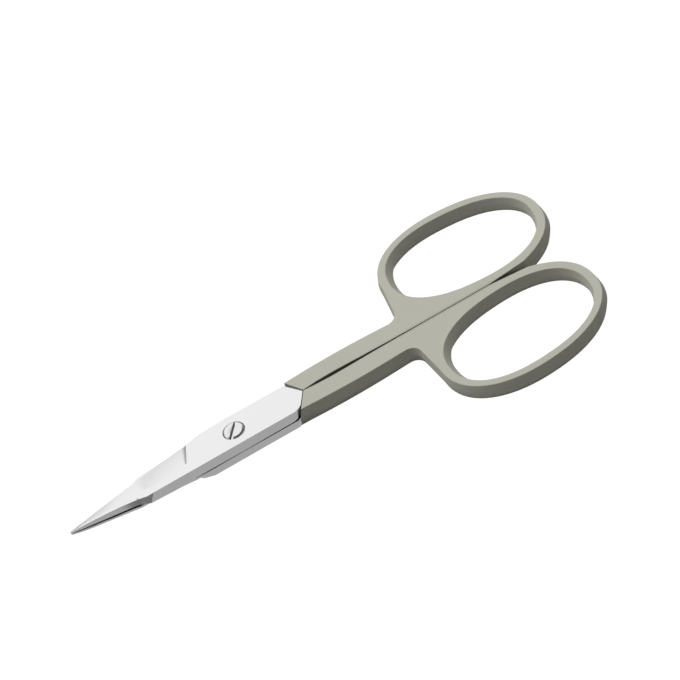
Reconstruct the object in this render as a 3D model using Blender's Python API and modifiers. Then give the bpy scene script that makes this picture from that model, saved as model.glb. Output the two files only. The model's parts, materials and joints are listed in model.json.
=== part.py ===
"""Cosmetic scissors: two forged halves with finger rings, joined by one slotted pivot screw.

Units are metres and +Z is up. The scissors lie closed and flat, with the tips towards -X and
the finger rings towards +X. Each half is modelled about the pivot, with Z = 0 on the plane where
the blades slide on each other, and is then placed as a whole.
"""

import math

import bmesh
import bpy
from mathutils import Matrix, Vector

# Overall sizes, measured from the pivot axis
blade_reach = 0.0318
body_thickness = 0.0036
ring_thickness = 0.0031

# Blade section between the shoulder and the start of the ground bevel
spine_half_width = 0.00335
spine_lean = 0.00035
edge_half_width = 0.00345
edge_facet = 0.0009
heel_drop = 0.0005
slide_gap = 0.00010
hollow_depth = 0.00010

# Ground bevel that makes the cutting edge
notch_distance = 0.00805
notch_slant = 0.0022
runout_length = 0.0008
crest_share = 0.33
crest_height = 0.00025
edge_land = 0.00055
edge_belly = 0.00022

# Slim tip that is ground out of the spine side
kink_distance = 0.0172
kink_run = 0.0024
relief_half_width = 0.0023
relief_lean = 0.0001
relief_height = 0.0014
tip_half_width = 0.00012
tip_height = 0.0004
tip_land = 0.0003
tip_offset = 0.0006

# Shoulder where the full-thickness handle begins
shoulder_apex = 0.0134
shoulder_corner = 0.0113
shoulder_lean = 0.0012
shoulder_gap = 0.00015
root_chamfer = 0.0009
root_relief = 0.0002
blade_root = 0.003

# Shank between the shoulder and the finger ring
shank_half_width = 0.0035
shank_swell = 0.00015
shank_length = 0.0201
shank_rounding = 0.0002
neck_fillet = 0.0021
parting_gap = 0.00014
parting_relief = 0.00015
parting_bias = 0.45

# Finger ring, an oval with a flat top and rounded walls
ring_length = 0.0304
ring_width = 0.0204
ring_setback = 0.002776
ring_offset = 0.0106
ring_tilt = math.radians(-4.7)
ring_fullness = 2.2
ring_rounding = 0.00065
ring_start = math.radians(-62)
ring_end = math.radians(184)
neck_start = math.radians(-8)
hole_length = 0.0274
hole_width = 0.0175
hole_offset = 0.00015
hole_fullness = 2.3
hole_rounding = 0.00093

# Pivot screw
screw_radius = 0.0012
screw_clearance = 0.00005
head_radius = 0.0019
head_clearance = 0.00008
head_edge = 0.0002
head_proud = 0.00025
head_rounding = 0.00035
screw_recess = 0.00006
slot_width = 0.00075
slot_depth = 0.0005
slot_angle = math.radians(52)

# How far a cutter runs past what it cuts, and how near points must be to count as one
overrun = 0.001
weld = 0.000001

# Counts that set how finely the curves are divided
oval_steps = 72
fillet_steps = 8
shank_steps = 8
wall_levels = 7
rounding_steps = 4
screw_steps = 48

half_thickness = body_thickness / 2
slide_plane = slide_gap / 2
parting_side = parting_gap / 2
shank_end = shoulder_corner + shank_length


def make_material(name, colour, roughness, metallic):
    material = bpy.data.materials.new(name)
    material.use_nodes = True
    shader = material.node_tree.nodes["Principled BSDF"]
    shader.inputs["Base Color"].default_value = (*colour, 1)
    shader.inputs["Roughness"].default_value = roughness
    shader.inputs["Metallic"].default_value = metallic
    material.diffuse_color = (*colour, 1)
    return material


def make_object(name, mesh, material, collection):
    obj = bpy.data.objects.new(name, mesh)
    mesh.materials.append(material)
    collection.objects.link(obj)
    return obj


def hide_cutter(obj):
    obj.hide_render = True
    obj.display_type = "WIRE"
    return obj


def loft(name, rings):
    """A closed skin over rings that all have the same number of points, with flat ends."""
    shape = bmesh.new()
    loops = [[shape.verts.new(point) for point in ring] for ring in rings]
    for low, high in zip(loops, loops[1:]):
        for i in range(len(low)):
            k = (i + 1) % len(low)
            shape.faces.new((low[i], low[k], high[k], high[i]))
    shape.faces.new(loops[0])
    shape.faces.new(loops[-1])
    bmesh.ops.recalc_face_normals(shape, faces=shape.faces)
    mesh = bpy.data.meshes.new(name)
    shape.to_mesh(mesh)
    shape.free()
    return mesh


def outward(outline):
    """Unit normals of an outline that runs anticlockwise, pointing away from the material."""
    normals = []
    for i, point in enumerate(outline):
        along = outline[(i + 1) % len(outline)] - outline[i - 1]
        normals.append(Vector((along.y, -along.x)).normalized())
    return normals


def rounded_rings(outline, roundings, half_height, side):
    """Level copies of an outline whose walls swell from crisp edges to a crown at mid height."""
    normals = outward(outline)
    rings = []
    for level in range(wall_levels):
        share = 2 * level / (wall_levels - 1) - 1
        ring = []
        for point, normal, rounding in zip(outline, normals, roundings):
            place = point + normal * (side * rounding * (1 - share ** 2))
            ring.append(Vector((place.x, place.y, half_height * share)))
        rings.append(ring)
    return rings


def oval(length, width, fullness, centre, first_turn, last_turn, steps):
    """Points on a tilted superellipse, from one turn to another, both ends included."""
    points = []
    for step in range(steps + 1):
        turn = first_turn + (last_turn - first_turn) * step / steps
        along = math.copysign(abs(math.cos(turn)) ** (2 / fullness), math.cos(turn)) * length / 2
        across = math.copysign(abs(math.sin(turn)) ** (2 / fullness), math.sin(turn)) * width / 2
        points.append(centre + Matrix.Rotation(ring_tilt, 2) @ Vector((along, across)))
    return points


def ring_reach():
    """How far the tilted ring's flat top reaches from its centre, along the scissors."""
    ring = oval(ring_length, ring_width, ring_fullness, Vector((0, 0)), 0, math.tau, oval_steps)
    return max(point.x for point in ring)


def ring_centre():
    """The ring begins a little way past the end of the shank."""
    return Vector((shank_end + ring_setback + ring_reach(), ring_offset))


def pivot_place():
    """The pivot axis, with the whole length centred on the origin and the underside at Z = 0."""
    handle_reach = ring_centre().x + ring_reach() + ring_rounding
    return Vector(((blade_reach - handle_reach) / 2, 0, half_thickness))


def parting_points(start, end):
    """The inner side of the shank, hollowed a little, and most of all near the shoulder."""
    points = []
    for step in range(shank_steps + 1):
        share = step / shank_steps
        relief = parting_relief * math.sin(math.pi * share ** parting_bias)
        points.append(Vector((start + (end - start) * share, parting_side + relief)))
    return points


def shank_points():
    """The outer side of the shank, from the neck back to the shoulder's corner, a little swollen."""
    points = []
    for step in range(shank_steps + 1):
        share = step / shank_steps
        swell = shank_swell * math.sin(math.pi * share)
        points.append(Vector((shank_end - shank_length * share, shank_half_width + swell)))
    return points


def neck_points():
    """The hollow fillet that turns from the ring's end down to the shank."""
    centre = Vector((shank_end, shank_half_width + neck_fillet))
    points = []
    for step in range(fillet_steps):
        turn = neck_start + (-math.pi / 2 - neck_start) * step / fillet_steps
        points.append(centre + Vector((math.cos(turn), math.sin(turn))) * neck_fillet)
    return points


def handle_outline():
    """Outline of one handle's flat top, anticlockwise from the shoulder's apex, with wall roundings."""
    ring = oval(ring_length, ring_width, ring_fullness, ring_centre(), ring_start, ring_end, oval_steps)
    inner = parting_points(shoulder_apex, ring_centre().x)
    neck = neck_points()
    shank = shank_points()
    roundings = [0 for _ in inner]
    for point in ring:
        share = min(max((point.x - ring[-1].x) / ring_length * 2, 0), 1)
        roundings.append(shank_rounding + (ring_rounding - shank_rounding) * share)
    roundings += [shank_rounding for _ in neck + shank]
    return inner + ring + neck + shank, roundings


def taper_handle(mesh):
    """Thin the handle evenly along the shank, from the blades' thickness to the ring's."""
    start = shoulder_apex + blade_root
    end = shank_end + neck_fillet
    shape = bmesh.new()
    shape.from_mesh(mesh)
    for x in (start, end):
        everything = shape.verts[:] + shape.edges[:] + shape.faces[:]
        bmesh.ops.bisect_plane(shape, geom=everything, plane_co=(x, 0, 0), plane_no=(1, 0, 0), dist=weld)
    for vert in shape.verts:
        share = min(max((vert.co.x - start) / (end - start), 0), 1)
        vert.co.z *= 1 + (ring_thickness / body_thickness - 1) * share
    shape.to_mesh(mesh)
    shape.free()


def make_handle(name, front_lean, material, collection):
    """Shank and finger ring as one full-thickness solid, kept on its own side of the parting line."""
    outline, roundings = handle_outline()
    rings = rounded_rings(outline, roundings, half_thickness, 1)
    for ring in rings:
        for point in ring:
            point.y = max(point.y, parting_side)
        for corner in (ring[0], ring[-1]):
            corner.x -= front_lean * (1 + corner.z / half_thickness) / 2
    mesh = loft(name, rings)
    taper_handle(mesh)
    return hide_cutter(make_object(name, mesh, material, collection))


def make_hole_cutter(name, material, collection):
    """The finger hole, narrowest at mid height because the ring's walls are rounded."""
    centre = ring_centre() + Vector((0, hole_offset))
    outline = oval(hole_length, hole_width, hole_fullness, centre, 0, math.tau, oval_steps)[:-1]
    rings = rounded_rings(outline, [hole_rounding for _ in outline], ring_thickness / 2, -1)
    floor = [Vector((p.x, p.y, -ring_thickness / 2 - overrun)) for p in outline]
    roof = [Vector((p.x, p.y, ring_thickness / 2 + overrun)) for p in outline]
    mesh = loft(name, [floor] + rings + [roof])
    return hide_cutter(make_object(name, mesh, material, collection))


def outer_height(y):
    """Height of the blade's outer face above the sliding plane, at a distance y across it."""
    share = (y + spine_half_width) / (spine_half_width + edge_half_width)
    return half_thickness - heel_drop * share


def hollow(x):
    """The blades touch at the pivot and the tip, and bow apart a little in between."""
    share = min(abs(x) / blade_reach, 1) if x < 0 else min(x / shoulder_apex, 1) / 2
    return slide_plane + hollow_depth * math.sin(math.pi * share)


def tip_shift(x, lean):
    """Both blades lean the same way, so their tips meet a little to one side."""
    return lean * tip_offset * min(x, 0) / blade_reach


def blade_section(edge, facet, spine, spine_foot, crest, lean):
    """Corners of the blade: foot and top of the spine, crest, top and foot of the cutting edge."""
    corners = []
    across = Vector((edge.x, edge.y - facet, edge.z)) - Vector((spine.x, -spine.y, spine.z))
    ridge = Vector((spine.x, -spine.y, spine.z + crest)) + across * crest_share
    for x, y, z in (
        (spine.x, -spine_foot, hollow(spine.x)),
        (spine.x, -spine.y, spine.z),
        ridge,
        (edge.x, edge.y - facet, edge.z),
        (edge.x, edge.y, hollow(edge.x)),
    ):
        corners.append(Vector((x, y + tip_shift(x, lean), z)))
    return corners


def spine_inset(x):
    """The spine stays parallel to the parting line, although the blade leans."""
    return tip_offset * max(-x, 0) / blade_reach


def heel_section(x, spine_x, facet, lean):
    """Blade section that still has its full thickness."""
    edge = Vector((x, edge_half_width, half_thickness - heel_drop))
    width = spine_half_width - spine_inset(spine_x)
    spine = Vector((spine_x, width, half_thickness))
    return blade_section(edge, facet, spine, width + spine_lean, 0, lean)


def ground_section(x, spine_x, ground, lean):
    """Blade section whose cutting side is ground down to the land, from the notch to the tip."""
    relief_x = -kink_distance - kink_run
    edge_y = edge_half_width + (tip_half_width - edge_half_width) * ground
    edge_y += edge_belly * math.sin(math.pi * ground)
    edge = Vector((x, edge_y, edge_land + (tip_land - edge_land) * ground))
    if spine_x > relief_x:
        width = spine_half_width - spine_inset(spine_x)
        foot = width + spine_lean
        height = half_thickness
    else:
        share = (spine_x - relief_x) / (-blade_reach - relief_x)
        foot = relief_half_width + (tip_half_width - relief_half_width) * share
        width = foot - relief_lean * (1 - share)
        height = relief_height + (tip_height - relief_height) * share ** 2
    spine = Vector((spine_x, width, height))
    return blade_section(edge, 0, spine, foot, crest_height * (1 - ground), lean)


def blade_sections(lean):
    """Sections from inside the handle to the tip."""
    notch_x = -notch_distance
    bevel_x = notch_x - runout_length
    relief_x = -kink_distance - kink_run
    root_x = shoulder_apex + blade_root
    sections = [heel_section(x, x, 0, lean) for x in (root_x, 0)]
    sections.append(heel_section(notch_x, notch_x - notch_slant, edge_facet, lean))
    sections.append(ground_section(bevel_x, bevel_x - notch_slant, 0, lean))
    tip_shares = (0, 0.25, 0.5, 0.75, 0.9, 1)
    xs = [(bevel_x - kink_distance) / 2, -kink_distance]
    xs += [relief_x + (-blade_reach - relief_x) * share for share in tip_shares]
    for x in xs:
        sections.append(ground_section(x, x, (x - bevel_x) / (-blade_reach - bevel_x), lean))
    return sections


def make_shoulder_cutter(name, facing_lean, material, collection):
    """The other half's handle needs this room beside the blade's root."""
    slope = (shoulder_apex - shoulder_corner) / shank_half_width
    depth = spine_half_width + spine_lean
    apex_x = shoulder_apex - shoulder_gap
    corner_x = apex_x - slope * (depth - root_chamfer) - root_relief
    end_x = shoulder_apex + blade_root + overrun
    front = [
        Vector((apex_x, parting_side)),
        Vector((corner_x, root_chamfer - depth)),
        Vector((corner_x - root_chamfer - overrun, -depth - overrun)),
    ]
    back = [Vector((end_x, -depth - overrun)), Vector((end_x, parting_side))]
    rings = []
    for z in (-overrun, half_thickness + overrun):
        shift = facing_lean * (1 - z / half_thickness) / 2
        rings.append([Vector((p.x - shift, p.y, z)) for p in front] + [Vector((p.x, p.y, z)) for p in back])
    return hide_cutter(make_object(name, loft(name, rings), material, collection))


def turned(name, profile, material, collection):
    """A solid turned about the pivot axis from a profile of radius and height, top to bottom."""
    mesh = bpy.data.meshes.new(name)
    points = [(radius, 0, height) for radius, height in profile]
    mesh.from_pydata(points, [(i, i + 1) for i in range(len(points) - 1)], [])
    obj = make_object(name, mesh, material, collection)
    turn = obj.modifiers.new("turn", "SCREW")
    turn.steps = screw_steps
    turn.render_steps = screw_steps
    turn.use_merge_vertices = True
    turn.merge_threshold = weld
    return obj


def seat_profile(extra_radius, top, bottom):
    """Countersunk seat for the screw's head, with a straight bore for its shank below."""
    face = outer_height(0)
    wide = head_radius + extra_radius
    narrow = screw_radius + screw_clearance
    cone_end = face - head_edge - (wide - narrow)
    wall = [(wide, top), (wide, face - head_edge), (narrow, cone_end), (narrow, bottom)]
    return [(0, top)] + wall + [(0, bottom)]


def combine(obj, operand, operation):
    step = obj.modifiers.new(operand.name, "BOOLEAN")
    step.operation = operation
    step.object = operand
    step.material_mode = "TRANSFER"


def settle(obj):
    """Keep the evaluated mesh, with round walls shaded smooth and real corners left sharp."""
    graph = bpy.context.evaluated_depsgraph_get()
    mesh = bpy.data.meshes.new_from_object(obj.evaluated_get(graph))
    mesh.name = obj.name
    obj.modifiers.clear()
    obj.data = mesh
    mesh.shade_smooth()
    mesh.set_sharp_from_angle(angle=math.radians(30))


def make_half(name, lean, front_lean, materials, parts, cutters, screw_hole):
    """Blade, shank and finger ring of one half, forged in one piece."""
    steel, coating = materials
    half = make_object(name, loft(name, blade_sections(lean)), steel, parts)
    room = make_shoulder_cutter(name + "_shoulder_room", shoulder_lean - front_lean, steel, cutters)
    combine(half, room, "DIFFERENCE")
    combine(half, make_handle(name + "_handle", front_lean, coating, cutters), "UNION")
    combine(half, make_hole_cutter(name + "_finger_hole", coating, cutters), "DIFFERENCE")
    combine(half, hide_cutter(screw_hole), "DIFFERENCE")
    settle(half)
    return half


def make_screw(name, steel, parts, cutters):
    """Slotted screw: its rounded head stands a little proud, and its shank fills both halves."""
    face = outer_height(0)
    top = face + head_proud
    rim = face - head_edge
    profile = [(0, top)]
    for step in range(rounding_steps + 1):
        turn = math.pi / 2 * (1 - step / rounding_steps)
        radius = head_radius + head_rounding * (math.cos(turn) - 1)
        profile.append((radius, top + head_rounding * (math.sin(turn) - 1)))
    profile += [
        (head_radius, rim),
        (screw_radius, rim - (head_radius - screw_radius)),
        (screw_radius, screw_recess - face),
        (0, screw_recess - face),
    ]
    screw = turned(name, profile, steel, parts)
    shape = bmesh.new()
    bmesh.ops.create_cube(shape, size=1)
    bmesh.ops.scale(shape, verts=shape.verts, vec=(2 * head_radius + overrun, slot_width, 2 * slot_depth))
    mesh = bpy.data.meshes.new(name + "_slot")
    shape.to_mesh(mesh)
    shape.free()
    slot = hide_cutter(make_object(name + "_slot", mesh, steel, cutters))
    slot.rotation_euler.z = slot_angle
    slot.location.z = top
    combine(screw, slot, "DIFFERENCE")
    settle(screw)
    return screw


def main():
    for old in list(bpy.data.objects):
        bpy.data.objects.remove(old)
    parts = bpy.data.collections.new("cosmetic_scissors")
    cutters = bpy.data.collections.new("cutters")
    for collection in (parts, cutters):
        bpy.context.scene.collection.children.link(collection)

    steel = make_material("polished_steel", (0.80, 0.80, 0.81), 0.22, 1.0)
    coating = make_material("sage_coating", (0.40, 0.40, 0.34), 0.55, 0.0)
    materials = (steel, coating)

    seat_top = half_thickness + overrun
    seat = turned("countersunk_seat", seat_profile(head_clearance, seat_top, -overrun), steel, cutters)
    bore_radius = screw_radius + screw_clearance
    bore_profile = [(0, seat_top), (bore_radius, seat_top), (bore_radius, -overrun), (0, -overrun)]
    bore = turned("threaded_bore", bore_profile, steel, cutters)

    upper = make_half("upper_half", 1, 0, materials, parts, cutters, seat)
    lower = make_half("lower_half", -1, shoulder_lean, materials, parts, cutters, bore)
    lower.data.transform(Matrix.Rotation(math.pi, 4, "X"))
    screw = make_screw("pivot_screw", steel, parts, cutters)
    for piece in (upper, lower, screw):
        piece.location = pivot_place()


main()
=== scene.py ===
# %% [markdown]
# Cosmetic scissors, closed and lying flat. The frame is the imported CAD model: two forged halves
# and the pivot screw, in metres, with Z up, the tips towards -X and the finger rings towards +X.
# Every piece below is drawn at the place that this frame gives, so nothing has to be fitted.

# %% Load the frame
import json
import math
import bmesh
import bpy
from mathutils import Matrix, Vector


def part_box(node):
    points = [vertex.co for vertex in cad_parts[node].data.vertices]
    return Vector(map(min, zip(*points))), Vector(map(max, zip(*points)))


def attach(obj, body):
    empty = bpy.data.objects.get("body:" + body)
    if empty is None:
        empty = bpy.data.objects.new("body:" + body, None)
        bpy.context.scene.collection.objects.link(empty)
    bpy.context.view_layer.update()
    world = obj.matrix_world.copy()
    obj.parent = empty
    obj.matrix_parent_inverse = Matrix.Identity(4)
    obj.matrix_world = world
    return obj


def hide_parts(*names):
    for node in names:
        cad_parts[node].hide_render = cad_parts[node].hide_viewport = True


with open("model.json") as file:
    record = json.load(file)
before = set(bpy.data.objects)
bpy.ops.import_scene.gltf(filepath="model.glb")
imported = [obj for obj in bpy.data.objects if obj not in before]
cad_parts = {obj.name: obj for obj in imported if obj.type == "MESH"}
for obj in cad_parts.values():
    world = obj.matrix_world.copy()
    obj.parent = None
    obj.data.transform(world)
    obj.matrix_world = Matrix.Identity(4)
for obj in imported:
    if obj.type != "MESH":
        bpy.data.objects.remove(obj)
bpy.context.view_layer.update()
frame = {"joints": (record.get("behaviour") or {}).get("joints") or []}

# %% [markdown]
# The photograph was taken from the tips' side, about 47 degrees above the table, with a long lens.
# A camera could be aimed by hand, but it was fitted to the round screw head, the parting line and
# the two matching rings, so its place and its three turns are simply written down.

# %% Camera
lens_mm, sensor_mm = 147.46, 36
nearest, farthest = 0.01, 10
camera_place = (-0.035814, -0.309591, 0.348146)
heading_degrees, tilt_degrees, roll_degrees = -7.64868, 42.71607, -24

camera_data = bpy.data.cameras.new("photo_camera")
camera_data.lens = lens_mm
camera_data.sensor_width = sensor_mm
camera_data.clip_start = nearest
camera_data.clip_end = farthest
photo_camera = bpy.data.objects.new("photo_camera", camera_data)
bpy.context.scene.collection.objects.link(photo_camera)
heading = Matrix.Rotation(math.radians(heading_degrees), 4, "Z")
tilt = Matrix.Rotation(math.radians(tilt_degrees), 4, "X")
roll = Matrix.Rotation(math.radians(roll_degrees), 4, "Z")
photo_camera.matrix_world = Matrix.Translation(camera_place) @ heading @ tilt @ roll
bpy.context.scene.camera = photo_camera
print("camera looks down", round(90 - tilt_degrees, 1), "degrees")

# %% [markdown]
# The table is a pale, plain surface. It has to keep the soft shadow of the scissors and still look
# white to the camera, as in the photograph. Stronger lamps would wash out the steel, so the camera
# is given a clean white through the kind of ray that it sends, with a small share of the lit paper
# that carries the shadow, and the steel mirrors a grey paper, as it does in the photograph.

# %% Table
table_width = 4
paper_grey, paper_roughness, paper_specular = (0.5, 0.5, 0.495, 1), 0.9, 0.1
mirrored_glow, seen_glow, seen_share = 0.43, 1.1, 0.93


def link(tree, start, end):
    """Join one node's output socket to another node's input socket."""
    tree.links.new(start, end)


def maths(tree, operation, *values):
    """One maths node on sockets and plain numbers."""
    node = tree.nodes.new("ShaderNodeMath")
    node.operation = operation
    for place, value in zip(node.inputs, values):
        if isinstance(value, bpy.types.NodeSocket):
            link(tree, value, place)
        else:
            place.default_value = value
    return node.outputs["Value"]


table_paper = bpy.data.materials.new("table_paper")
table_paper.use_nodes = True
paper = table_paper.node_tree
paper_shader = paper.nodes["Principled BSDF"]
paper_shader.inputs["Base Color"].default_value = paper_grey
paper_shader.inputs["Roughness"].default_value = paper_roughness
paper_shader.inputs["Specular IOR Level"].default_value = paper_specular
paper_rays = paper.nodes.new("ShaderNodeLightPath")


def paper_glow(strength):
    """A plain glow of the table, at a strength where 1 is white."""
    glow = paper.nodes.new("ShaderNodeEmission")
    glow.inputs["Strength"].default_value = strength
    return glow.outputs["Emission"]


def paper_choice(rays, other, seen, share=1):
    """Show one shader to one kind of ray and another to the rest."""
    choice = paper.nodes.new("ShaderNodeMixShader")
    link(paper, maths(paper, "MULTIPLY", rays, share), choice.inputs["Fac"])
    link(paper, other, choice.inputs[1])
    link(paper, seen, choice.inputs[2])
    return choice.outputs["Shader"]


mirrored, through, camera_rays = [
    paper_rays.outputs[kind] for kind in ("Is Glossy Ray", "Is Transmission Ray", "Is Camera Ray")]
mirror_rays = maths(paper, "MAXIMUM", mirrored, through)
paper_seen = paper_choice(mirror_rays, paper_shader.outputs["BSDF"], paper_glow(mirrored_glow))
paper_seen = paper_choice(camera_rays, paper_seen, paper_glow(seen_glow), seen_share)
link(paper, paper_seen, paper.nodes["Material Output"].inputs["Surface"])

bpy.ops.mesh.primitive_plane_add(size=table_width, location=(0, 0, 0))
table = bpy.context.object
table.name = "table"
table.data.materials.append(table_paper)
print("table", table.dimensions.x, "m wide")

# %% [markdown]
# The room is a big soft light behind the scissors and a dim one in front, which is what makes the
# tops bright and the near walls dark. It is drawn as one smooth shade of the sky: the direction
# of a ray is compared with the back, and that comparison is turned into a brightness. Low down, the
# front is a little lighter and the back is darker. A softbox above the back adds the plain light.
# It could be mirrored in the steel as a hard white patch, so it is kept out of the reflections,
# and the steel mirrors the wall behind it alone.

# %% Room light
back_direction = (-0.3, 0.954, 0)

room = bpy.data.worlds.new("studio")
bpy.context.scene.world = room
room.use_nodes = True
sky = room.node_tree
sky_direction = sky.nodes.new("ShaderNodeTexCoord")
sky_split = sky.nodes.new("ShaderNodeSeparateXYZ")
link(sky, sky_direction.outputs["Generated"], sky_split.inputs["Vector"])
height = sky_split.outputs["Z"]
sky_side = sky.nodes.new("ShaderNodeVectorMath")
sky_side.operation = "DOT_PRODUCT"
sky_side.inputs[1].default_value = back_direction
link(sky, sky_direction.outputs["Generated"], sky_side.inputs[0])


def ranged(tree, value, start, end, low, high, easing="LINEAR"):
    """Turn a value that runs from start to end into one that runs from low to high."""
    step = tree.nodes.new("ShaderNodeMapRange")
    step.interpolation_type = easing
    for socket, number in zip(("From Min", "From Max", "To Min", "To Max"), (start, end, low, high)):
        step.inputs[socket].default_value = number
    link(tree, value, step.inputs["Value"])
    return step


side = sky_side.outputs["Value"]
sky_front = ranged(sky, height, start=0, end=0.42, low=0.46, high=0.1)
sky_back = ranged(sky, side, start=0.22, end=0.55, low=0, high=1, easing="SMOOTHSTEP")
link(sky, sky_front.outputs["Result"], sky_back.inputs["To Min"])
sky_height = ranged(sky, height, start=-0.05, end=0.45, low=0.3, high=1, easing="SMOOTHSTEP")
sky_both = maths(sky, "MULTIPLY", sky_back.outputs["Result"], sky_height.outputs["Result"])
sky_seen = sky.nodes.new("ShaderNodeLightPath").outputs["Is Camera Ray"]
sky_white = maths(sky, "MAXIMUM", sky_both, sky_seen)
link(sky, sky_white, sky.nodes["Background"].inputs["Strength"])
sky.nodes["Background"].inputs["Color"].default_value = (1, 1, 1, 1)
print("sky nodes", len(sky.nodes))

# %% Softbox
softbox_width, softbox_depth, softbox_watts, softbox_distance = 0.9, 0.5, 7.9, 1.0
softbox_data = bpy.data.lights.new("softbox", "AREA")
softbox_data.shape = "RECTANGLE"
softbox_data.size = softbox_width
softbox_data.size_y = softbox_depth
softbox_data.energy = softbox_watts
softbox = bpy.data.objects.new("softbox", softbox_data)
softbox.visible_glossy = False
softbox_aim = Vector((-0.05, 0.3, 0.95)).normalized()
softbox.location = softbox_aim * softbox_distance
softbox.rotation_euler = softbox_aim.to_track_quat("Z", "Y").to_euler()
bpy.context.scene.collection.objects.link(softbox)
print("softbox", softbox_data.energy, "W at", [round(value, 2) for value in softbox.location])

# %% [markdown]
# Every piece is modelled round the pivot: X runs along the scissors from the pivot axis, and Z = 0 is
# the plane where the blades slide on each other. These short helpers do what a hand does in edit
# mode: open one piece, pick points, edges or faces by their place, and close it again.

# %% Hands
mm = 0.001
weld = 0.001 * mm
pivot = Vector(frame["joints"][0]["pos_m"])
half_thickness = (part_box("upper_half")[1].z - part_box("upper_half")[0].z) / 2


def open_piece(piece):
    """Go into edit mode on one piece, with nothing selected."""
    bpy.ops.object.select_all(action="DESELECT")
    piece.select_set(True)
    bpy.context.view_layer.objects.active = piece
    bpy.ops.object.mode_set(mode="EDIT")
    bpy.ops.mesh.select_mode(type="VERT")
    bpy.ops.mesh.select_all(action="DESELECT")


def close_piece():
    """Leave edit mode."""
    bpy.ops.object.mode_set(mode="OBJECT")


def pick(piece, kind, test):
    """Select the points, edges or faces that pass a test, and nothing else."""
    bpy.ops.mesh.select_mode(type={"verts": "VERT", "edges": "EDGE", "faces": "FACE"}[kind])
    bpy.ops.mesh.select_all(action="DESELECT")
    drawn = bmesh.from_edit_mesh(piece.data)
    drawn.normal_update()
    found = [element for element in getattr(drawn, kind) if test(element)]
    for element in found:
        element.select_set(True)
    bmesh.update_edit_mesh(piece.data)
    return len(found)


def move_points(piece, place):
    """Move every point to the place that a rule gives for it."""
    drawn = bmesh.from_edit_mesh(piece.data)
    drawn.normal_update()
    places = [place(point) for point in drawn.verts]
    for point, new_place in zip(drawn.verts, places):
        point.co = new_place
    bmesh.update_edit_mesh(piece.data)


def cut_across(places):
    """Cut the piece in edit mode across, at each of these places along X."""
    for x in places:
        bpy.ops.mesh.select_all(action="SELECT")
        bpy.ops.mesh.bisect(plane_co=(x, 0, 0), plane_no=(1, 0, 0))


def new_start(name):
    """Name the primitive that has just been added."""
    piece = bpy.context.object
    piece.name = name
    piece.data.name = name
    return piece


def apply_modifier(piece, kind, **settings):
    """Add one modifier with its settings, and apply it."""
    bpy.ops.object.select_all(action="DESELECT")
    piece.select_set(True)
    bpy.context.view_layer.objects.active = piece
    step = piece.modifiers.new(kind.title(), kind)
    for key, value in settings.items():
        setattr(step, key, value)
    bpy.ops.object.modifier_apply(modifier=step.name)


print("pivot at", [round(value * 1000, 3) for value in pivot], "mm")
print("half the thickness is", round(half_thickness * 1000, 2), "mm")

# %% [markdown]
# A finger ring is a slightly squared oval, tilted a little against the shank. It starts as a circle
# that is pushed out to that oval. Its sizes come from the photograph, like those of the CAD.

# %% Finger ring measures
ring_length, ring_width, ring_fullness = 30.4 * mm, 20.4 * mm, 2.2
hole_length, hole_width, hole_fullness = 27.4 * mm, 17.5 * mm, 2.3
ring_setback, ring_offset, hole_offset = 2.776 * mm, 10.6 * mm, 0.15 * mm
ring_tilt = math.radians(-4.7)
shoulder_apex, shoulder_corner = 13.4 * mm, 11.3 * mm
shank_end, shank_half_width = 31.4 * mm, 3.5 * mm
neck_radius = 2.1 * mm
parting_side = 0.07 * mm
ring_thickness = 3.35 * mm


def on_oval(turn, length, width, fullness):
    """A point of a squared oval round its own centre, in the direction of a turn."""
    push = (abs(math.cos(turn)) ** fullness + abs(math.sin(turn)) ** fullness) ** (-1 / fullness)
    along = Vector((math.cos(turn) * length / 2, math.sin(turn) * width / 2, 0)) * push
    return Matrix.Rotation(ring_tilt, 3, "Z") @ along


ring_places = [on_oval(math.radians(turn), ring_length, ring_width, ring_fullness) for turn in range(360)]
ring_reach = max(place.x for place in ring_places)
ring_centre = Vector((shank_end + ring_setback + ring_reach, ring_offset, 0))
hole_centre = ring_centre + Vector((0, hole_offset, 0))
print("ring centre", [round(value * 1000, 3) for value in ring_centre], "mm from the pivot")

# %% [markdown]
# Outline of one handle, seen from above: the ring, the hollow fillet of its neck, the outer side of the
# shank, the shoulder, and the parting side that faces the other half. A curve object could be used,
# but a circle of points is easy to open where the shank meets it, and its end is then extruded
# point by point, round the fillet and along the straight runs, until the outline closes.

# %% Handle outline
ring_points = 180
open_from, open_to = 185.1, 299.4
flat_depth, flat_place, flat_spread = 0.25 * mm, 4.5 * mm, 3.5 * mm


def on_ring(turn):
    """A point of the ring's outline, which is a little flatter where it meets the other ring."""
    place = ring_centre + on_oval(turn, ring_length, ring_width, ring_fullness)
    if math.sin(turn) < 0:
        place.y -= flat_depth * math.exp(-((place.x - ring_centre.x - flat_place) / flat_spread) ** 2)
    place.y = max(place.y, parting_side)
    return place


def turn_of(point):
    """The direction of a point of a circle, as a turn round its centre."""
    return math.atan2(point.co.y, point.co.x)


def draw_on(piece, start, places):
    """Extrude a single point along a row of places, and leave the last one selected."""
    pick(piece, "verts", lambda point: (point.co - start).length < weld)
    for place in places:
        bpy.ops.mesh.extrude_region_move(TRANSFORM_OT_translate={"value": place - start})
        start = place
    return start


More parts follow.
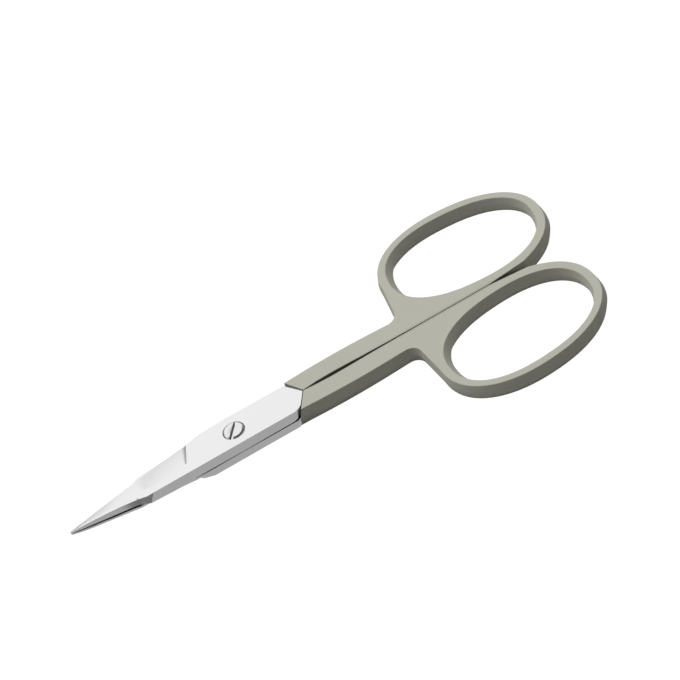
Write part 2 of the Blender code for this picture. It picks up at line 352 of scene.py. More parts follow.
bpy.ops.object.select_all(action="DESELECT")
bpy.ops.mesh.primitive_circle_add(vertices=ring_points, radius=1)
upper_handle = new_start("upper_handle")
open_piece(upper_handle)
pick(upper_handle, "verts", lambda point: open_from < math.degrees(turn_of(point)) % 360 < open_to)
bpy.ops.mesh.delete(type="VERT")
move_points(upper_handle, lambda point: on_ring(turn_of(point)))
drawn = bmesh.from_edit_mesh(upper_handle.data)
ends = [point.co.copy() for point in drawn.verts if len(point.link_edges) == 1]
neck_side = min(ends, key=lambda place: place.x)
print("ring drawn with", len(drawn.verts), "points")

# %% Neck fillet
neck_steps = 14
neck_centre = Vector((shank_end, shank_half_width + neck_radius, 0))
neck_turn = math.radians(-8)


def on_neck(share):
    """A point of the neck's fillet, from the ring at 0 to the shank at 1."""
    turn = neck_turn + (-math.pi / 2 - neck_turn) * share
    return neck_centre + Vector((math.cos(turn), math.sin(turn), 0)) * neck_radius


neck_row = [on_neck(step / neck_steps) for step in range(neck_steps + 1)]
neck_end = draw_on(upper_handle, neck_side, neck_row)
print("neck drawn with", len(neck_row), "points")

# %% [markdown]
# The shank swells by a hair at its middle. On its inner side the two halves would scrape if they were
# dead straight, so a forger leaves a slim relief, widest a little way behind the shoulder. A sine
# whose share is raised to a power gives a curve with its crest that far to one side.

# %% Shank and parting side
shank_steps = 14
shank_swell = 0.3 * mm
gap_relief, gap_lead, gap_sharpness = 0.3 * mm, 0.37, 4

shank_row = []
for step in range(1, shank_steps + 1):
    share = step / shank_steps
    x = shank_end + (shoulder_corner - shank_end) * share
    shank_row.append(Vector((x, shank_half_width + shank_swell * math.sin(math.pi * share), 0)))
corner = draw_on(upper_handle, neck_end, shank_row)

parting_row = []
for step in range(shank_steps + 1):
    share = step / shank_steps
    x = shoulder_apex + (ring_centre.x - shoulder_apex) * share
    relief = gap_relief * math.sin(math.pi * share ** gap_lead) ** gap_sharpness
    parting_row.append(Vector((x, parting_side + relief, 0)))
draw_on(upper_handle, corner, parting_row)
pick(upper_handle, "verts", lambda point: len(point.link_edges) == 1)
bpy.ops.mesh.edge_face_add()
print("outline closed,", len(bmesh.from_edit_mesh(upper_handle.data).verts), "points")

# %% [markdown]
# The finger hole is a second oval inside the first. It could be cut out of the solid ring later, but a
# second circle that is drawn in the same flat outline leaves the hole open when the face is filled,
# and its walls come with the thickness. The flat faces are then cleared of needless edges.

# %% Finger hole, face and thickness
level, flat_angle = 0.99, math.radians(0.5)

bpy.ops.mesh.select_all(action="DESELECT")
bpy.ops.mesh.primitive_circle_add(vertices=ring_points, radius=1)
drawn = bmesh.from_edit_mesh(upper_handle.data)
for point in drawn.verts:
    if point.select:
        point.co = hole_centre + on_oval(turn_of(point), hole_length, hole_width, hole_fullness)
bmesh.update_edit_mesh(upper_handle.data)
bpy.ops.mesh.select_all(action="SELECT")
bpy.ops.mesh.fill(use_beauty=True)
bpy.ops.transform.translate(value=(0, 0, half_thickness))
bpy.ops.mesh.extrude_region_move(TRANSFORM_OT_translate={"value": (0, 0, -2 * half_thickness)})
bpy.ops.mesh.select_all(action="SELECT")
bpy.ops.mesh.normals_make_consistent(inside=False)
pick(upper_handle, "faces", lambda face: abs(face.normal.z) > level)
bpy.ops.mesh.dissolve_limited(angle_limit=flat_angle)
print("handle blank,", len(bmesh.from_edit_mesh(upper_handle.data).faces), "faces")

# %% [markdown]
# A forged handle has no upright walls: they stand out a little at mid height, which is comfortable for
# the fingers. The walls are divided into rows, and each row is moved out along its own normal. The
# parting sides get a narrow ridge instead, so that the closed halves almost meet along it.

# %% Crown of the walls
hole_crown, hole_crown_growth, hole_zone = 0.48 * mm, 0.55 * mm, 1.12
shank_crown, ring_crown_growth = 0.32 * mm, 0.18 * mm
parting_crown, parting_sharpness = 0.35 * mm, 3
parting_zone, meeting_zone, meeting_reach = 0.3 * mm, 0.8 * mm, 7 * mm


def place_in_hole(place):
    """A point's place in the finger hole's own directions, as a share of the hole's size."""
    offset = Matrix.Rotation(-ring_tilt, 3, "Z") @ (place - hole_centre)
    return offset.x / hole_length * 2, offset.y / hole_width * 2


def crown(place):
    """How far a wall stands out at mid height, and how sharply: the parting sides almost meet there."""
    along, across = place_in_hole(place)
    if along ** 2 + across ** 2 < hole_zone:
        return hole_crown + hole_crown_growth * max(-along, 0) ** 2, 1
    on_meeting = place.x < ring_centre.x + meeting_reach and place.y < meeting_zone
    if on_meeting or place.y < parting_zone:
        return parting_crown, parting_sharpness
    if place.x < shoulder_apex:
        return 0, 1
    if place.x < neck_side.x:
        return shank_crown, 1
    share = min((place.x - neck_side.x) / ring_length * 2, 1)
    return shank_crown + ring_crown_growth * share, 1


for name, place in (("ring", on_ring(0)), ("hole", hole_centre + Vector((hole_length / 2, 0, 0)))):
    print("the", name, "stands out by", round(crown(place)[0] * 1000, 2), "mm at its far end")

# %% Crowned walls
wall_rows = 9
crown_roundness = 1.1
rim_share, least_lean, least_rise = 0.999, 0.1, 0.1 * mm


def is_upright(edge):
    """Whether an edge runs up a wall."""
    start, end = edge.verts
    return abs(start.co.z - end.co.z) > least_rise


def swollen(point):
    """Where a point of a wall belongs once the wall is crowned. Points of the rims stay."""
    share = abs(point.co.z / half_thickness)
    flat = Vector((point.normal.x, point.normal.y, 0))
    if share > rim_share or flat.length < least_lean:
        return point.co.copy()
    height, sharpness = crown(point.co)
    place = point.co + flat.normalized() * height * (1 - share ** crown_roundness) ** sharpness
    place.y = max(place.y, parting_side)
    return place


pick(upper_handle, "edges", is_upright)
bpy.ops.mesh.subdivide(number_cuts=wall_rows)
move_points(upper_handle, swollen)
print("walls crowned in", wall_rows + 1, "rows")

# %% [markdown]
# The forging is a little thinner at the ring than at the shank. A taper could be made with a second
# sketch from the side, but here the solid is cut across at the taper's start, middle and end, so
# that its flat faces can bend there, and then every point is lowered by its share of the way.

# %% Taper towards the ring
taper_start, taper_end = shoulder_apex + 3 * mm, shank_end + neck_radius
ring_thinning = ring_thickness / (2 * half_thickness) - 1


def thinned(point):
    """Where a point belongs once the handle tapers towards the ring."""
    share = min(max((point.co.x - taper_start) / (taper_end - taper_start), 0), 1)
    return Vector((point.co.x, point.co.y, point.co.z * (1 + ring_thinning * share)))


cut_across((taper_start, (taper_start + taper_end) / 2, taper_end))
move_points(upper_handle, thinned)
close_piece()
print("handle", len(upper_handle.data.polygons), "faces")

# %% [markdown]
# The two handles are the same forging turned over, but the lower one's front leans forward towards the
# table. So the lower handle is copied from the upper one before the rims are broken, its front is
# leaned, and it is turned half round about the X axis.

# %% Lower handle
shoulder_lean, lean_reach = 1.2 * mm, 1.2 * mm
shoulder_slope = (shoulder_apex - shoulder_corner) / shank_half_width


def copy_piece(piece, name):
    """A copy with its own mesh."""
    twin = piece.copy()
    twin.data = piece.data.copy()
    twin.name = name
    twin.data.name = name
    bpy.context.scene.collection.objects.link(twin)
    return twin


lower_handle = copy_piece(upper_handle, "lower_handle")
open_piece(lower_handle)


def leaned(point):
    """The front slants forward by more towards the side that will lie on the table."""
    front = shoulder_apex - shoulder_slope * point.co.y
    near = max(0, 1 - max(point.co.x - front, 0) / lean_reach)
    return point.co - Vector((shoulder_lean * near * (1 + point.co.z / half_thickness) / 2, 0, 0))


move_points(lower_handle, leaned)
close_piece()
print("lower handle copied")

# %% [markdown]
# The rims of a coated forging are never knife sharp. A bevel modifier rounds them, and a weight on each
# edge says by how much, so that the parting side keeps a narrower rim. Weighted normals then keep
# the flat faces flat in the light, with the change of shade inside the bevel alone.

# %% Broken rims
rim_width, parting_weight, parting_reach = 0.12 * mm, 0.4, 0.5 * mm
wall_limit, flat_limit = 0.9, 0.98
rim_smooth_angle = math.radians(40)


def is_rim(edge):
    """Whether an edge lies between a flat face and a wall."""
    if len(edge.link_faces) != 2:
        return False
    wall, flat = sorted(abs(face.normal.z) for face in edge.link_faces)
    return wall < wall_limit and flat > flat_limit


def break_rims(piece):
    """Round every rim a little, and less along the parting side, where the halves meet closely."""
    open_piece(piece)
    pick(piece, "edges", is_rim)
    bpy.ops.transform.edge_bevelweight(value=1)
    pick(piece, "edges", lambda edge: is_rim(edge) and max(end.co.y for end in edge.verts) < parting_reach)
    bpy.ops.transform.edge_bevelweight(value=parting_weight - 1)
    close_piece()
    apply_modifier(piece, "BEVEL", width=rim_width, segments=3, limit_method="WEIGHT", loop_slide=False)
    bpy.ops.object.shade_smooth_by_angle(angle=rim_smooth_angle)
    apply_modifier(piece, "WEIGHTED_NORMAL", keep_sharp=True, weight=60)
    print(piece.name, len(piece.data.polygons), "faces")


for handle in (upper_handle, lower_handle):
    break_rims(handle)

# %% [markdown]
# A blade is ground out of a flat bar. Its outer face falls a little from the thick spine to the cutting
# side, a steep ramp leads down to the long bevel that makes the edge, and near the point the spine
# is ground away too. It starts as a cube of the bar's size. Cuts across it give the places
# where the grinding changes, one cut along it gives the crest of the bevel, and then each
# cut's corners are moved to their places.

# %% Blade measures
blade_reach, root_end = 31.8 * mm, 16 * mm
spine_half_width, edge_half_width = 3.35 * mm, 3.45 * mm
spine_lean, spine_swell = 0.35 * mm, 0.22 * mm
heel_bulge, heel_facet, heel_drop, heel_run = 0.15 * mm, 0.5 * mm, 0.5 * mm, 4 * mm
notch_distance, notch_slant = 8.05 * mm, 2.2 * mm
ramp_length, ramp_slant, ramp_roundness = 1.05 * mm, 0.08 * mm, 1.65
kink_distance = 16.65 * mm
tip_half_width, tip_land, tip_offset = 0.12 * mm, 0.3 * mm, 0.6 * mm
edge_land, edge_belly, crest_height, crest_share = 0.55 * mm, 0.22 * mm, 0.25 * mm, 0.33
slide_plane, hollow_depth = 0.05 * mm, 0.10 * mm
bevel_start = -notch_distance - ramp_length
touch = 0.01 * mm


def blade_hollow(x):
    """The inner faces touch at the pivot and the tip, and bow apart a little in between."""
    share = min(-x / blade_reach, 1) if x < 0 else min(x / shoulder_apex, 1) / 2
    return slide_plane + hollow_depth * math.sin(math.pi * share)


print("the bevel runs from", round(bevel_start * 1000, 2), "to", round(-blade_reach * 1000, 2), "mm")

# %% [markdown]
# The spine side and the cutting side are each a rule that gives a width and a height for any place
# along the blade. Between pivot and kink the spine is nearly straight, so a formula does. The slim
# tip is ground by hand in several strokes, so it is held as marks: a place, the half widths at the
# spine's foot and top, the height of that top, and how far the foot runs ahead of it. Places
# between two marks are read off the straight line that joins them.

# %% Spine and cutting side
def between(marks, x):
    """Numbers at a place, read off a list of marks that runs towards the tip."""
    if x >= marks[0][0]:
        return marks[0][1:]
    for near, far in zip(marks, marks[1:]):
        if x >= far[0]:
            share = (x - near[0]) / (far[0] - near[0])
            return tuple(a + (b - a) * share for a, b in zip(near[1:], far[1:]))
    return marks[-1][1:]


tip_marks = [[value * mm for value in mark] for mark in (
    (-16.65, 3.381, 3.036, 1.8, 1.1), (-17.8, 3.075, 2.62, 1.32, 0.5), (-18.6, 2.729, 2.28, 1.21, 0.3),
    (-19.6, 2.33, 1.84, 0.98, 0), (-21, 2.05, 1.65, 1.01, 0),
    (-22.6, 1.764, 1.403, 1.036, 0), (-25, 1.335, 1.041, 0.943, 0), (-28, 0.80, 0.58, 0.716, 0),
    (-30.3, 0.39, 0.29, 0.52, 0), (-31.8, 0.12, 0.12, 0.4, 0))]


def spine_line(x):
    """Half width at the spine's foot and top, the spine's height, and how far its foot runs ahead."""
    if x > -kink_distance + touch:
        width = spine_half_width - tip_offset * max(-x, 0) / blade_reach
        share = min(max((-notch_distance - x) / (kink_distance - notch_distance), 0), 1)
        return width + spine_lean + spine_swell * math.sin(math.pi * share), width, half_thickness, 0
    return between(tip_marks, x)


def ramp_fall(share):
    """The ramp starts steeply and eases out, as a round grinding wheel leaves it."""
    return 1 - (1 - share) ** ramp_roundness


def edge_line(x):
    """Half width and height of the cutting side's top, and how far it is eased at the notch."""
    if x > -notch_distance:
        bulge = heel_bulge * max(1 - abs(x / notch_distance), 0)
        eased = heel_facet * max(1 - (x + notch_distance) / heel_run, 0) ** 2
        return edge_half_width + bulge, half_thickness - heel_drop, eased
    if x > bevel_start:
        share = (-notch_distance - x) / ramp_length
        height = half_thickness - heel_drop
        return edge_half_width, height + (edge_land - height) * ramp_fall(share), heel_facet * (1 - share)
    ground = (bevel_start - x) / (blade_reach + bevel_start)
    width = edge_half_width + (tip_half_width - edge_half_width) * ground
    return width + edge_belly * math.sin(math.pi * ground), edge_land + (tip_land - edge_land) * ground, 0


for x in (0, -kink_distance, -blade_reach):
    widths = [round(width * 1000, 2) for width in (spine_line(x)[0], edge_line(x)[0])]
    print("at", round(x * 1000, 2), "mm the spine and edge stand at", widths, "mm")

# %% Blade blank and cuts
heel_cuts = [place * mm for place in (4, 0, -2.5, -4.5, -6.3)]
ramp_cuts = [-notch_distance - ramp_length * share for share in (0, 0.2, 0.4, 0.6, 0.8, 1)]
middle_cuts = [place * mm for place in (-10, -11.05, -13, -15)] + [-kink_distance]
tip_cuts = [place * mm for place in (-23.8, -26.5, -29.2, -31.2)] + [mark[0] for mark in tip_marks[1:-1]]
blade_cuts = heel_cuts + ramp_cuts + middle_cuts + tip_cuts

bar_start = Vector((-blade_reach, -spine_half_width, slide_plane))
bar_end = Vector((root_end, edge_half_width, half_thickness))
bar_size, bar_middle = bar_end - bar_start, (bar_end + bar_start) / 2
bpy.ops.object.select_all(action="DESELECT")
bpy.ops.mesh.primitive_cube_add(size=1, location=bar_middle, scale=bar_size)
straight_blade = new_start("straight_blade")
bpy.ops.object.transform_apply(location=True, rotation=True, scale=True)
open_piece(straight_blade)
cut_across(blade_cuts)
crest_y = -spine_half_width + bar_size.y * crest_share
bpy.ops.mesh.select_all(action="SELECT")
bpy.ops.mesh.bisect(plane_co=(0, crest_y, 0), plane_no=(0, 1, 0))
print("blade blank,", len(bmesh.from_edit_mesh(straight_blade.data).verts), "points")


# %% Ground blade
def ground_share(x):
    """How much of the ramp has been climbed down, from none at the notch to all at the bevel."""
    return ramp_fall(min(max((-notch_distance - x) / ramp_length, 0), 1))


def slanted(x):
    """The grinding starts further from the pivot on the spine side than on the cutting side."""
    if x > 0 or x < -kink_distance:
        return x
    if x > -notch_distance:
        return x + notch_slant * (x / notch_distance)
    ramp_top = -notch_distance - notch_slant
    if x > bevel_start:
        return ramp_top - ramp_slant * (-notch_distance - x) / ramp_length
    share = (x + kink_distance) / (bevel_start + kink_distance)
    return x + (ramp_top - ramp_slant - bevel_start) * share


def ground(point):
    """Where a point of the blank belongs on the ground blade."""
    x, y, z = point.co
    on_top = z > (slide_plane + half_thickness) / 2
    spine_x = slanted(x)
    edge_foot, edge_height, eased = edge_line(x)
    spine_foot, spine_width, spine_height, ahead = spine_line(spine_x)
    edge_top = Vector((x, edge_foot - eased, edge_height))
    spine_top = Vector((spine_x, -spine_width, spine_height))
    if y > edge_half_width - touch:
        return edge_top if on_top else Vector((x, edge_foot, blade_hollow(x)))
    if y < -spine_half_width + touch:
        return spine_top if on_top else Vector((spine_x - ahead, -spine_foot, blade_hollow(spine_x)))
    fade = 1 - max((bevel_start - x) / (blade_reach + bevel_start), 0)
    place = spine_top + (edge_top - spine_top) * crest_share
    if on_top:
        return place + Vector((0, 0, crest_height * ground_share(x) * fade))
    return Vector((place.x, place.y, blade_hollow(place.x)))


move_points(straight_blade, ground)
close_piece()
print("blade ground,", round(max(straight_blade.dimensions) * 1000, 1), "mm long with its root")

# %% [markdown]
# Both blades lean the same way, so that their points meet a little to one side. In its own half that is
# towards the spine for one blade and towards the edge for the other. The straight blade is
# copied once, and each of the two gets its lean and its own root, cut to leave room for the
# other half's shoulder. The lower blade's edge and heel are left a little wider, because in the
# photograph they show as a narrow light band under the upper blade's spine.

# %% Wider edge of the lower blade
land_flare, land_drop, land_reach = 0.12 * mm, 0.1 * mm, 0.1 * mm
foot_height = 0.2 * mm
kept_marks = [[value * mm for value in mark] for mark in (
    (-17, 0), (-19.5, 0.33), (-21, 0.24), (-22.6, 0.2),
    (-25, 0.15), (-28, 0.11), (-30.3, 0.06), (-31.7, 0))]
print("the edge is kept wider by up to", round(max(kept for x, kept in kept_marks) * 1000, 2), "mm")


def widened(point):
    """Where a point of the edge belongs, so that it shows beside the other blade."""
    kept = between(kept_marks, point.co.x)[0]
    if kept <= 0 or point.co.y < edge_line(point.co.x)[0] - 2 * touch:
        return point.co.copy()
    if point.co.z < foot_height:
        return point.co + Vector((0, kept, 0))
    share = min(kept / land_reach, 1)
    return point.co + Vector((0, kept + land_flare * share, land_drop * share))


# %% Fuller heel of the lower blade
heel_stand, heel_lean, heel_height = 0.25 * mm, 0.1 * mm, 1.62 * mm
heel_rise, heel_start_share = 1.8 * mm, 0.4
heel_end, heel_fall = 10.5 * mm, 0.4 * mm
heel_foot = edge_half_width + heel_stand
print("the heel stands at", round(heel_foot * 1000, 2), "mm")


def filled(point):
    """Where a point of the heel belongs, so that it keeps its thickness beside the other spine."""
    rising = (point.co.x + notch_distance) / heel_rise + heel_start_share
    falling = (heel_end - point.co.x) / heel_fall
    share = min(max(rising, 0), max(falling, 0), 1)
    if share <= 0 or point.co.y < edge_half_width - heel_facet - 2 * touch:
        return point.co.copy()
    if point.co.z < foot_height:
        return Vector((point.co.x, point.co.y + (heel_foot - point.co.y) * share, point.co.z))
    corner = Vector((point.co.x, heel_foot + heel_lean, heel_height))
    return point.co.lerp(corner, share)


def fill_heel(piece):
    """Cut a blade across where its heel ends, and fill the heel up to there."""
    cut_across((heel_end, heel_end - heel_fall))
    move_points(piece, filled)


# %% Roots
shoulder_gap, root_radius = 0.15 * mm, 1.15 * mm
root_start, root_corner_side = 10 * mm, -spine_half_width + 0.6 * mm


def is_root_corner(edge):
    """Whether an edge runs up the root's corner on the spine side."""
    ends = [end.co for end in edge.verts]
    return is_upright(edge) and all(end.x > root_start and end.y < root_corner_side for end in ends)


def cut_root(piece, facing_lean):
    """Cut the root along the other half's shoulder, and round its corner on the spine side."""
    foot = Vector((shoulder_apex - shoulder_gap - facing_lean / 2, 0, 0))
    along = Vector((shoulder_slope, 1, 0))
    upward = Vector((facing_lean / (2 * half_thickness), 0, 1))
    face_out = along.cross(upward).normalized()
    bpy.ops.mesh.select_all(action="SELECT")
    bpy.ops.mesh.bisect(plane_co=foot, plane_no=face_out, clear_outer=True, use_fill=True)
    found = pick(piece, "edges", is_root_corner)
    bpy.ops.mesh.bevel(offset=root_radius, segments=6, affect="EDGES")
    print(piece.name, "root corner edges", found)


# %% Two blades
def lean_blade(piece, side):
    """Lean a blade's point to one side."""
    lean = side * tip_offset / blade_reach
    move_points(piece, lambda point: point.co + Vector((0, lean * min(point.co.x, 0), 0)))


upper_blade = straight_blade
upper_blade.name = upper_blade.data.name = "upper_blade"
lower_blade = copy_piece(upper_blade, "lower_blade")
for blade, side, facing_lean in ((upper_blade, 1, shoulder_lean), (lower_blade, -1, 0)):
    open_piece(blade)
    if blade == lower_blade:
        move_points(blade, widened)
    lean_blade(blade, side)
    cut_root(blade, facing_lean)
    if blade == lower_blade:
        fill_heel(blade)
    bpy.ops.mesh.select_all(action="SELECT")
    bpy.ops.mesh.normals_make_consistent(inside=False)
    close_piece()

# %% [markdown]
# The screw's head sits in a countersunk seat in the upper blade, and its shank goes down through
# both. Seat and screw are turned parts: half of the outline is drawn as a row of points and
# spun round the pivot axis. The seat is then taken out of the blade with a boolean.

# %% Turning
head_radius, shank_radius = 1.9 * mm, 1.2 * mm
seat_gap, bore_gap = 0.08 * mm, 0.05 * mm
head_edge, head_proud, head_rounding = 0.26 * mm, 0.25 * mm, 0.5 * mm
blade_face = half_thickness - heel_drop * spine_half_width / (spine_half_width + edge_half_width)
turning_steps = 96


def turn_piece(name, profile):
    """Spin a row of (radius, height) points round the pivot axis into a closed solid."""
    bpy.ops.object.select_all(action="DESELECT")
    bpy.ops.mesh.primitive_circle_add(vertices=3, radius=mm)
    piece = new_start(name)
    open_piece(piece)
    pick(piece, "verts", lambda point: point.index > 0)
    bpy.ops.mesh.delete(type="VERT")
    start = Vector((profile[0][0], 0, profile[0][1]))
    move_points(piece, lambda point: start)
    draw_on(piece, start, [Vector((radius, 0, height)) for radius, height in profile[1:]])
    bpy.ops.mesh.select_all(action="SELECT")
    bpy.ops.mesh.spin(steps=turning_steps, angle=math.tau, center=(0, 0, 0), axis=(0, 0, 1))
    bpy.ops.mesh.select_all(action="SELECT")
    bpy.ops.mesh.remove_doubles(threshold=weld)
    bpy.ops.mesh.normals_make_consistent(inside=False)
    close_piece()
    print(name, len(piece.data.vertices), "points")
    return piece


def cut_out(piece, tool):
    """Take one solid out of another, and throw the cutter away."""
    apply_modifier(piece, "BOOLEAN", object=tool, operation="DIFFERENCE", solver="EXACT")
    bpy.data.objects.remove(tool)


# %% Seat and bore
seat_radius, bore_radius = head_radius + seat_gap, shank_radius + bore_gap
seat_edge = blade_face - head_edge
seat_foot = seat_edge - (seat_radius - bore_radius)
above, below = 3 * mm, -mm
seat = turn_piece("seat_cutter", [
    (0, above), (seat_radius, above), (seat_radius, seat_edge),
    (bore_radius, seat_foot), (bore_radius, below), (0, below)])
cut_out(upper_blade, seat)
bore = turn_piece("bore_cutter", [(0, above), (bore_radius, above), (bore_radius, below), (0, below)])
cut_out(lower_blade, bore)
print("seat", round(seat_radius * 2000, 2), "mm wide, bore", round(bore_radius * 2000, 2), "mm")

# %% [markdown]
# A grinder leaves crisp corners, but not razors: each is eased by a few hundredths of a millimetre, and
# that thin line catches the light. A bevel on every edge would also soften the flats, so only the
# edges where two ground faces meet at a real angle are picked. The short upright edges in the tip's
# facet are left out, since they only divide one ground face.

# %% Ground edges
edge_easing, edge_angle = 0.04 * mm, 12
facet_start, facet_end = -20.5 * mm, -kink_distance - 0.2 * mm
smooth_angle = math.radians(35)


def is_ground_edge(edge):
    """Whether an edge is a real corner, where two ground faces meet at an angle."""
    if is_upright(edge) and all(facet_start < end.co.x < facet_end for end in edge.verts):
        return False
    return len(edge.link_faces) == 2 and edge.calc_face_angle() > math.radians(edge_angle)


def ease_edges(piece, width):
    """Bevel the real corners of the piece in edit mode, and shade what lies between them flat."""
    picked = pick(piece, "edges", is_ground_edge)
    bpy.ops.mesh.bevel(offset=width, segments=2, affect="EDGES", clamp_overlap=True, loop_slide=False)
    close_piece()
    bpy.ops.object.shade_smooth_by_angle(angle=smooth_angle)
    apply_modifier(piece, "WEIGHTED_NORMAL", keep_sharp=True, weight=60)
    print(piece.name, picked, "edges eased,", len(piece.data.polygons), "faces")


for blade in (upper_blade, lower_blade):
    open_piece(blade)
    bpy.ops.mesh.select_all(action="SELECT")
    bpy.ops.mesh.remove_doubles(threshold=weld)
    ease_edges(blade, edge_easing)

# %% [markdown]
# The pivot screw is turned from rod and polished. Its flat head has a rounded rim and one sawn slot,
# and the far end of its shank stops just inside the lower half's underside.

# %% Pivot screw
screw_recess, end_chamfer = 0.06 * mm, 0.12 * mm
head_top = blade_face + head_proud
screw_end = screw_recess - blade_face
rim_steps = 8
profile = [(0, head_top)]
for step in range(rim_steps + 1):
    turn = math.pi / 2 * (1 - step / rim_steps)
    inward, downward = head_rounding * (math.cos(turn) - 1), head_rounding * (math.sin(turn) - 1)
    profile.append((head_radius + inward, head_top + downward))
profile += [
    (head_radius, seat_edge), (shank_radius, seat_edge - (head_radius - shank_radius)),
    (shank_radius, screw_end + end_chamfer), (shank_radius - end_chamfer, screw_end), (0, screw_end)]
screw = turn_piece("screw", profile)

# %% [markdown]
# The slot is sawn straight across the head with a slitting saw, so a bar of the saw's width is taken out
# of the screw. Its corners are eased like the blades' own, by a little less.

# %% Slot
slot_width, slot_depth, slot_angle = 0.68 * mm, 0.4 * mm, math.radians(52.5)
slot_run, slot_easing = 5 * mm, 0.03 * mm
saw_size = (slot_run, slot_width, 2 * slot_depth)
bpy.ops.object.select_all(action="DESELECT")
bpy.ops.mesh.primitive_cube_add(size=1, location=(0, 0, head_top), scale=saw_size)
slot_saw = new_start("slot_saw")
slot_saw.rotation_euler.z = slot_angle
cut_out(screw, slot_saw)
open_piece(screw)
ease_edges(screw, slot_easing)

# %% [markdown]
# The blades are stainless steel, ground and then finely polished, so they look almost white where
# they mirror the light behind them. Real ground steel keeps very fine lines in the direction of
# grinding. A noise that is squeezed hard across the blade gives fine lines along it, and it drives
# both the roughness and a very low bump.

# %% Patterns for the finishes
noise_low, noise_high = 0.3, 0.7
even = (1, 1, 1)


def noise_on(tree, scale, detail, squeeze, turn=0):
    """Noise on the piece's own coordinates, finer where it is squeezed, and turned about Z."""
    place = tree.nodes.new("ShaderNodeTexCoord")
    mapping = tree.nodes.new("ShaderNodeMapping")
    mapping.inputs["Rotation"].default_value = (0, 0, turn)
    mapping.inputs["Scale"].default_value = squeeze
    noise = tree.nodes.new("ShaderNodeTexNoise")
    noise.inputs["Scale"].default_value = scale
    noise.inputs["Detail"].default_value = detail
    link(tree, place.outputs["Object"], mapping.inputs["Vector"])
    link(tree, mapping.outputs["Vector"], noise.inputs["Vector"])
    return noise.outputs["Fac"]


def spread(tree, value, low, high):
    """Turn a noise value into a narrow range of numbers."""
    return ranged(tree, value, noise_low, noise_high, low, high).outputs["Result"]


def tint(tree, value, dark, light):
    """Mix two close colours by a noise value."""
    mix = tree.nodes.new("ShaderNodeMix")
    mix.data_type = "RGBA"
    mix.inputs["A"].default_value = (*dark, 1)
    mix.inputs["B"].default_value = (*light, 1)
    link(tree, value, mix.inputs["Factor"])
    return mix.outputs["Result"]


def relief(tree, value, height):
    """A bump of a real height in metres."""
    bump = tree.nodes.new("ShaderNodeBump")
    bump.inputs["Distance"].default_value = height
    link(tree, value, bump.inputs["Height"])
    return bump.outputs["Normal"]


def new_finish(name):
    """A new material, with its nodes and its main shader."""
    finish = bpy.data.materials.new(name)
    finish.use_nodes = True
    return finish, finish.node_tree, finish.node_tree.nodes["Principled BSDF"]


# %% Blade finish
ground_steel, steel_tree, steel = new_finish("ground_steel")
steel.inputs["Metallic"].default_value = 1
grinding = noise_on(steel_tree, scale=400, detail=3, squeeze=(1, 26, 26), turn=math.radians(90))
cloud = noise_on(steel_tree, scale=90, detail=2, squeeze=even)
steel_tint = tint(steel_tree, cloud, dark=(0.83, 0.83, 0.835), light=(0.87, 0.87, 0.87))
link(steel_tree, steel_tint, steel.inputs["Base Color"])
link(steel_tree, spread(steel_tree, grinding, low=0.14, high=0.20), steel.inputs["Roughness"])
link(steel_tree, relief(steel_tree, grinding, height=0.0004 * mm), steel.inputs["Normal"])
print("steel nodes", len(steel_tree.nodes))

# %% [markdown]
# The screw is turned and polished, so it has no long grinding lines: an even, fine noise gives it a soft
# cloudiness. It is a shade darker than the blades, as another grade of steel.

# %% Screw finish
screw_steel, screw_tree, screw_shader = new_finish("screw_steel")
screw_shader.inputs["Metallic"].default_value = 1
polish = noise_on(screw_tree, scale=900, detail=3, squeeze=even)
screw_tint = tint(screw_tree, polish, dark=(0.78, 0.78, 0.785), light=(0.84, 0.84, 0.84))
link(screw_tree, screw_tint, screw_shader.inputs["Base Color"])
link(screw_tree, spread(screw_tree, polish, low=0.12, high=0.18), screw_shader.inputs["Roughness"])
link(screw_tree, relief(screw_tree, polish, height=0.0003 * mm), screw_shader.inputs["Normal"])
print("screw finish nodes", len(screw_tree.nodes))

# %% [markdown]
# The shanks and rings wear a thin matte coating in a sage grey, like a fine powder coat. It has a
# grain of about a tenth of a millimetre, and its colour drifts a little from place to place. On the
# parting sides, where the two halves almost touch, a dull dark brown is painted into the coating as
# shade, standing for the shadow in the narrow gap between them. Distances from the parting plane and
# from the middle of the thickness mark those places, so the rims keep the full colour.

# %% Coating finish
sage_coating, coat_tree, coat = new_finish("sage_coating")
drift = noise_on(coat_tree, scale=120, detail=3, squeeze=even)
grain = noise_on(coat_tree, scale=7000, detail=2, squeeze=even)
# The third colour is painted shade: a dark brown for the shadow in the gap between the two halves.
sage_dark, sage_light, painted_gap_shade = (0.452, 0.447, 0.385), (0.482, 0.477, 0.412), (0.20, 0.19, 0.155)


def near_plane(tree, length, plane, inner, outer):
    """1 where a length is within the inner distance of a plane, and 0 past the outer one."""
    distance = maths(tree, "ABSOLUTE", maths(tree, "SUBTRACT", length, plane))
    return ranged(tree, distance, inner, outer, 1, 0).outputs["Result"]


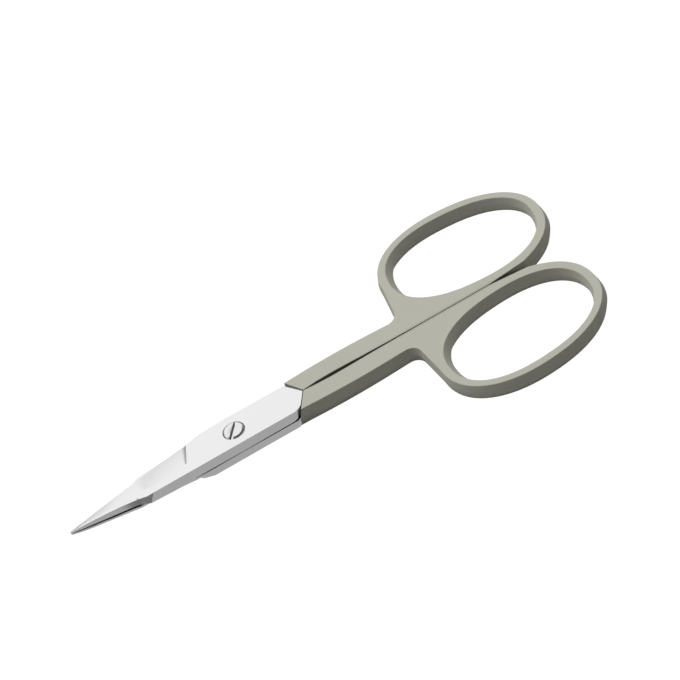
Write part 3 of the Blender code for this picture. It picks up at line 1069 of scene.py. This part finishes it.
coat_place = coat_tree.nodes.new("ShaderNodeTexCoord")
coat_split = coat_tree.nodes.new("ShaderNodeSeparateXYZ")
link(coat_tree, coat_place.outputs["Object"], coat_split.inputs["Vector"])
across, upward = coat_split.outputs["Y"], coat_split.outputs["Z"]
# The parting faces, away from the rims, are marked for the painted shade of the gap, and the coat's colour
# is mixed towards that dark brown there.
beside_parting = near_plane(coat_tree, across, plane=0, inner=0.35 * mm, outer=0.5 * mm)
between_rims = near_plane(coat_tree, upward, plane=half_thickness, inner=1.5 * mm, outer=1.74 * mm)
gap_shade_mask = maths(coat_tree, "MULTIPLY", beside_parting, between_rims)
gap_shaded_colour = coat_tree.nodes.new("ShaderNodeMix")
gap_shaded_colour.data_type = "RGBA"
gap_shaded_colour.inputs["B"].default_value = (*painted_gap_shade, 1)
link(coat_tree, gap_shade_mask, gap_shaded_colour.inputs["Factor"])
link(coat_tree, tint(coat_tree, drift, sage_dark, sage_light), gap_shaded_colour.inputs["A"])
link(coat_tree, gap_shaded_colour.outputs["Result"], coat.inputs["Base Color"])
link(coat_tree, spread(coat_tree, grain, low=0.58, high=0.70), coat.inputs["Roughness"])
link(coat_tree, relief(coat_tree, grain, height=0.004 * mm), coat.inputs["Normal"])
coat.inputs["Specular IOR Level"].default_value = 0.3
print("coating nodes", len(coat_tree.nodes))

# %% [markdown]
# Last, each piece gets its finish, the lower half is turned over, everything moves from the pivot's own
# coordinates to the frame's, each piece is told which body it rides on, and the CAD node that a piece
# replaces is hidden.

# %% Place the pieces
def finish_piece(piece, finish, body, node, turned_over):
    """Give a piece its finish and its place in the frame, and say what carries it."""
    piece.data.materials.clear()
    piece.data.materials.append(finish)
    if turned_over:
        piece.data.transform(Matrix.Rotation(math.pi, 4, "X"))
    piece.data.transform(Matrix.Translation(pivot))
    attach(piece, body)
    if node:
        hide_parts(node)
    print(piece.name, "rides on", body)


finish_piece(upper_handle, sage_coating, "upper_body", "upper_half", False)
finish_piece(upper_blade, ground_steel, "upper_body", None, False)
finish_piece(lower_handle, sage_coating, "lower_body", "lower_half", True)
finish_piece(lower_blade, ground_steel, "lower_body", None, True)
finish_piece(screw, screw_steel, "lower_body", "pivot_screw", False)

bpy.context.scene.view_settings.view_transform = "Standard"
